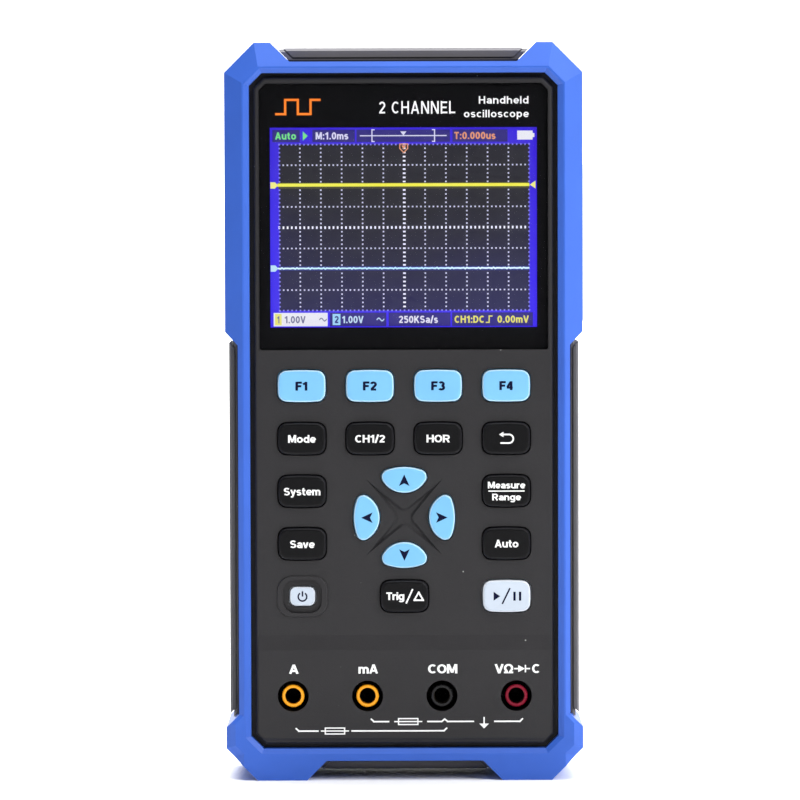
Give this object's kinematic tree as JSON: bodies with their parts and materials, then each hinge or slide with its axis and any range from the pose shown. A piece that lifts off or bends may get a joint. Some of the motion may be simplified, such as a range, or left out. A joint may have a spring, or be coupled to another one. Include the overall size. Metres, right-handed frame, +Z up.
{
  "type": "handheld oscilloscope",
  "caption": "Upright handheld oscilloscope with a soft bumper, screen, sprung keypad, test-lead sockets, recessed coaxial sockets, folding stand and covered charging port.",
  "frame": {"origin": "centre of the case on the surface that its two feet stand on", "axes": "+Z up the case, +X to the right as seen from the front, +Y from the front to the back"},
  "size_m": [0.0963, 0.038, 0.198],
  "materials": {
    "shell_black": "fine spark texture",
    "bumper_blue": "satin soft-touch",
    "grip_grey": "satin ribbed",
    "window_clear": "polished",
    "display_lit": "lit panel",
    "foam_black": "matt",
    "moulding_black": "matt",
    "silicone_grey": "matt",
    "board_green": "solder mask",
    "spring_steel": "bright",
    "tinned_steel": "bright",
    "screw_steel": "blackened",
    "fuse_ceramic": "ceramic",
    "brass_gilt": "bright",
    "coax_nickel": "nickel plated",
    "coax_white": "moulded",
    "cell_sleeve": "shrink sleeve",
    "stand_black": "fine spark texture",
    "collar_amber": "moulded",
    "collar_black": "moulded",
    "collar_red": "moulded",
    "key_blue": "satin silicone",
    "key_white": "satin silicone",
    "key_black": "satin silicone"
  },
  "bodies": {
    "case": {"front_shell": "shell_black", "rear_shell": "shell_black", "front_bumper": "bumper_blue", "rear_bumper": "bumper_blue", "left_grip": "grip_grey", "right_grip": "grip_grey", "top_pad": "grip_grey", "bottom_pad": "grip_grey", "screen_window": "window_clear", "jack_contacts": "brass_gilt", "collar_amp": "collar_amber", "collar_milliamp": "collar_amber", "collar_common": "collar_black", "collar_volt": "collar_red", "coax_tray": "shell_black", "coax_shells": "coax_nickel", "coax_nuts": "coax_nickel", "battery_door": "shell_black", "window_gasket": "foam_black", "display_panel": "display_lit", "display_frame": "moulding_black", "keypad_mat": "silicone_grey", "keypad_board": "board_green", "snap_domes": "spring_steel", "main_board": "board_green", "shield_can": "tinned_steel", "buzzer": "moulding_black", "fuses": "fuse_ceramic", "fuse_clips": "spring_steel", "battery_cells": "cell_sleeve", "battery_contacts": "spring_steel", "case_seal": "foam_black", "kickstand_pin": "spring_steel", "case_screws": "screw_steel", "usb_socket": "tinned_steel", "coax_insulators": "coax_white", "coax_pins": "brass_gilt", "jack_block": "moulding_black"},
    "kickstand": {"kickstand": "stand_black"},
    "usb_cover": {"usb_cover": "bumper_blue"},
    "key_f1": {"key_f1": "key_blue"},
    "key_f2": {"key_f2": "key_blue"},
    "key_f3": {"key_f3": "key_blue"},
    "key_f4": {"key_f4": "key_blue"},
    "key_mode": {"key_mode": "key_black"},
    "key_channel": {"key_channel": "key_black"},
    "key_horizontal": {"key_horizontal": "key_black"},
    "key_return": {"key_return": "key_black"},
    "key_system": {"key_system": "key_black"},
    "key_measure": {"key_measure": "key_black"},
    "key_save": {"key_save": "key_black"},
    "key_auto": {"key_auto": "key_black"},
    "key_trigger": {"key_trigger": "key_black"},
    "key_run": {"key_run": "key_white"},
    "key_up": {"key_up": "key_blue"},
    "key_right": {"key_right": "key_blue"},
    "key_down": {"key_down": "key_blue"},
    "key_left": {"key_left": "key_blue"},
    "key_power": {"key_power": "key_white"}
  },
  "joints": [
    {"name": "press_f1", "type": "slide", "parent": "case", "child": "key_f1", "axis": [0, 1, 0], "range_m": [0, 0.001], "stiffness_N_per_m": 800, "springref_m": -0.0006},
    {"name": "press_f2", "type": "slide", "parent": "case", "child": "key_f2", "axis": [0, 1, 0], "range_m": [0, 0.001], "stiffness_N_per_m": 800, "springref_m": -0.0006},
    {"name": "press_f3", "type": "slide", "parent": "case", "child": "key_f3", "axis": [0, 1, 0], "range_m": [0, 0.001], "stiffness_N_per_m": 800, "springref_m": -0.0006},
    {"name": "press_f4", "type": "slide", "parent": "case", "child": "key_f4", "axis": [0, 1, 0], "range_m": [0, 0.001], "stiffness_N_per_m": 800, "springref_m": -0.0006},
    {"name": "press_mode", "type": "slide", "parent": "case", "child": "key_mode", "axis": [0, 1, 0], "range_m": [0, 0.001], "stiffness_N_per_m": 800, "springref_m": -0.0006},
    {"name": "press_channel", "type": "slide", "parent": "case", "child": "key_channel", "axis": [0, 1, 0], "range_m": [0, 0.001], "stiffness_N_per_m": 800, "springref_m": -0.0006},
    {"name": "press_horizontal", "type": "slide", "parent": "case", "child": "key_horizontal", "axis": [0, 1, 0], "range_m": [0, 0.001], "stiffness_N_per_m": 800, "springref_m": -0.0006},
    {"name": "press_return", "type": "slide", "parent": "case", "child": "key_return", "axis": [0, 1, 0], "range_m": [0, 0.001], "stiffness_N_per_m": 800, "springref_m": -0.0006},
    {"name": "press_system", "type": "slide", "parent": "case", "child": "key_system", "axis": [0, 1, 0], "range_m": [0, 0.001], "stiffness_N_per_m": 800, "springref_m": -0.0006},
    {"name": "press_measure", "type": "slide", "parent": "case", "child": "key_measure", "axis": [0, 1, 0], "range_m": [0, 0.001], "stiffness_N_per_m": 800, "springref_m": -0.0006},
    {"name": "press_save", "type": "slide", "parent": "case", "child": "key_save", "axis": [0, 1, 0], "range_m": [0, 0.001], "stiffness_N_per_m": 800, "springref_m": -0.0006},
    {"name": "press_auto", "type": "slide", "parent": "case", "child": "key_auto", "axis": [0, 1, 0], "range_m": [0, 0.001], "stiffness_N_per_m": 800, "springref_m": -0.0006},
    {"name": "press_trigger", "type": "slide", "parent": "case", "child": "key_trigger", "axis": [0, 1, 0], "range_m": [0, 0.001], "stiffness_N_per_m": 800, "springref_m": -0.0006},
    {"name": "press_run", "type": "slide", "parent": "case", "child": "key_run", "axis": [0, 1, 0], "range_m": [0, 0.001], "stiffness_N_per_m": 800, "springref_m": -0.0006},
    {"name": "press_up", "type": "slide", "parent": "case", "child": "key_up", "axis": [0, 1, 0], "range_m": [0, 0.001], "stiffness_N_per_m": 800, "springref_m": -0.0006},
    {"name": "press_right", "type": "slide", "parent": "case", "child": "key_right", "axis": [0, 1, 0], "range_m": [0, 0.001], "stiffness_N_per_m": 800, "springref_m": -0.0006},
    {"name": "press_down", "type": "slide", "parent": "case", "child": "key_down", "axis": [0, 1, 0], "range_m": [0, 0.001], "stiffness_N_per_m": 800, "springref_m": -0.0006},
    {"name": "press_left", "type": "slide", "parent": "case", "child": "key_left", "axis": [0, 1, 0], "range_m": [0, 0.001], "stiffness_N_per_m": 800, "springref_m": -0.0006},
    {"name": "press_power", "type": "slide", "parent": "case", "child": "key_power", "axis": [0, 1, 0], "range_m": [0, 0.0008], "stiffness_N_per_m": 800, "springref_m": -0.0006},
    {"name": "stand_hinge", "type": "hinge", "parent": "case", "child": "kickstand", "pos_m": [0, 0.0146, 0.1135], "axis": [1, 0, 0], "range_deg": [0, 38]},
    {"name": "cover_hinge", "type": "hinge", "parent": "case", "child": "usb_cover", "pos_m": [0.04835, 0.0037, 0.14425], "axis": [0, 0, 1], "range_deg": [0, 100]}
  ]
}
